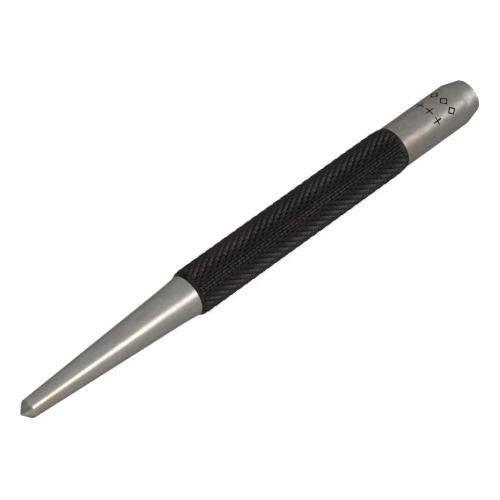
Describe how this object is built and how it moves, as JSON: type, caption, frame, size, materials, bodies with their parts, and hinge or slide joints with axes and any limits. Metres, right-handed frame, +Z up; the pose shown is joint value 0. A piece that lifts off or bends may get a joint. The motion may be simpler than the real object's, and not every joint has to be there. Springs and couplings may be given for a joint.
{
  "type": "center punch",
  "caption": "Center punch with a ground point and tapered nose, a black diamond-knurled grip and a plain stamped head with a crowned striking end.",
  "frame": {"origin": "on the bench surface under the middle of the tool's length, directly below its axis, with the tool lying on the crests of its knurl", "axes": "+X along the tool from the point towards the striking face, +Z up. The middle of the stamped marks is 7.5 degrees from +Z towards +Y"},
  "size_m": [0.1016, 0.0084, 0.0083],
  "materials": {
    "point_steel": "ground bare tool steel",
    "ground_steel": "fine ground bare tool steel",
    "black_chamfer": "smooth black oxide over turned steel",
    "black_knurl": "black oxide over knurled steel, rubbed on the crests",
    "head_steel": "duller satin bare steel with faint rust tint",
    "crown_steel": "turned bare steel, dressed striking face"
  },
  "bodies": {
    "root": {"point": "point_steel", "tapered_nose": "ground_steel", "grip_chamfer": "black_chamfer", "knurled_grip": "black_knurl", "head": "head_steel", "crown": "crown_steel"}
  },
  "joints": []
}
